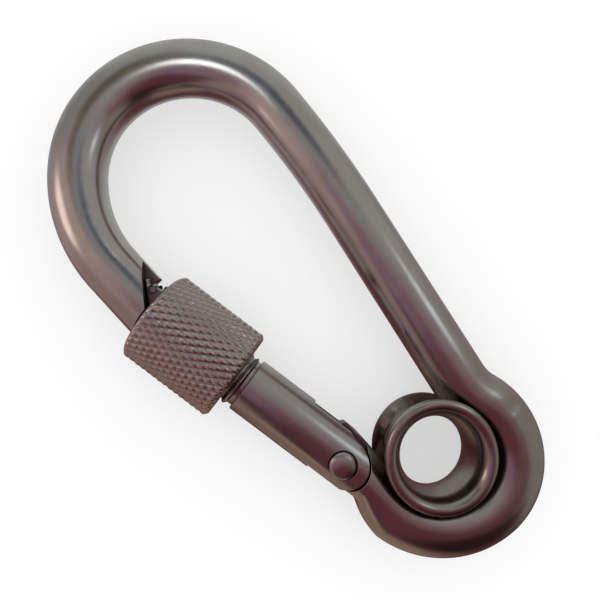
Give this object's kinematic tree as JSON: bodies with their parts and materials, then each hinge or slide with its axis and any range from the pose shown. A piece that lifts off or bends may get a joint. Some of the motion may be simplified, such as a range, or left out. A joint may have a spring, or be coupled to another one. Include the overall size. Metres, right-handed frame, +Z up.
{
  "type": "eye hook with latch",
  "caption": "Snap hook bent from round rod, with a lined eye at one end, a sprung hinged gate across the opening and a knurled sleeve nut that locks the gate.",
  "frame": {"origin": "centre of the bounding box in X and Y, on the lowest plane of the hook lying flat", "axes": "+X from the eye towards the bow, +Y from the spine towards the gate, +Z up out of the hook's plane"},
  "size_m": [0.0872, 0.0432, 0.0136],
  "materials": {
    "rod_steel": "polished stainless steel",
    "eyelet_steel": "polished stainless steel",
    "rivet_steel": "peened stainless steel",
    "gate_steel": "polished stainless steel",
    "latch_pin_steel": "plain stainless pin",
    "nut_steel": "diamond knurled stainless steel",
    "plunger_steel": "turned stainless steel",
    "spring_steel": "spring wire"
  },
  "bodies": {
    "hook": {"hook_body": "rod_steel", "eyelet": "eyelet_steel", "hinge_pin": "rivet_steel"},
    "gate": {"gate": "gate_steel", "latch_pin": "latch_pin_steel", "gate_spring": "spring_steel"},
    "lock_nut": {"lock_nut": "nut_steel"},
    "plunger": {"spring_plunger": "plunger_steel"}
  },
  "joints": [
    {"name": "gate_hinge", "type": "hinge", "parent": "hook", "child": "gate", "pos_m": [-0.02001, 0.00942, 0.0068], "axis": [0, 0, -1], "range_deg": [0, 32], "stiffness_Nm_per_rad": 0.08, "springref_deg": -22.92},
    {"name": "lock_nut_slide", "type": "slide", "parent": "gate", "child": "lock_nut", "axis": [0.982, 0.1891, 0], "range_m": [0, 0.004]},
    {"name": "plunger_slide", "type": "slide", "parent": "gate", "child": "plunger", "axis": [0.982, 0.1891, 0], "range_m": [0, 0.0022], "deforming": ["gate_spring"]}
  ],
  "couplings": [
    {"joint": "plunger_slide", "follows": "gate_hinge", "m_per_rad": 0.0038}
  ]
}
